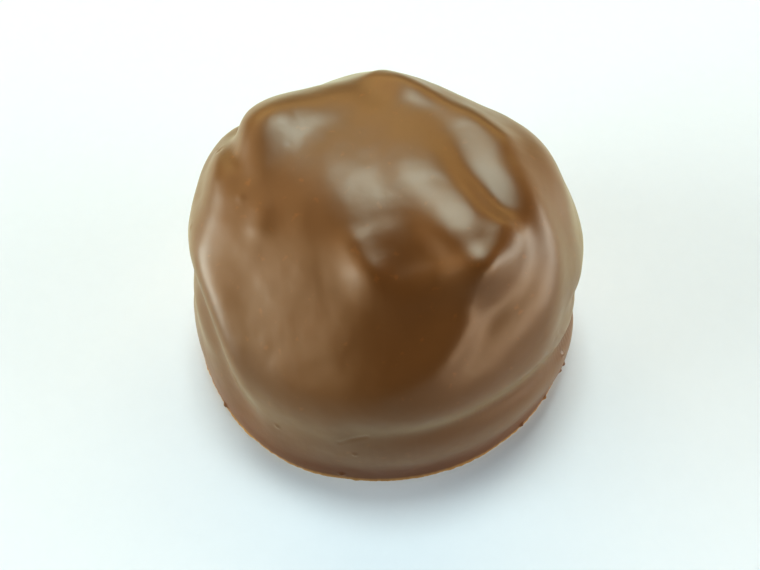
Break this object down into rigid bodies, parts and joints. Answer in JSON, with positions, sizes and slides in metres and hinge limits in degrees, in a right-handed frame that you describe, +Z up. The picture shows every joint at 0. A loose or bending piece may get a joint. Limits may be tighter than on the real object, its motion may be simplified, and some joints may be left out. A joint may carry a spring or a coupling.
{
  "type": "chocolate praline",
  "caption": "Moulded milk chocolate praline, a rounded lump with soft ridges and hollows on a flat base, eaten in a bite or two.",
  "frame": {"origin": "centre of the base, on the surface that the praline stands on", "axes": "+Z up, -Y towards the side that the picture was taken from"},
  "size_m": [0.0302, 0.0302, 0.0183],
  "materials": {
    "milk_chocolate": "satin"
  },
  "bodies": {
    "root": {"praline": "milk_chocolate"}
  },
  "joints": []
}
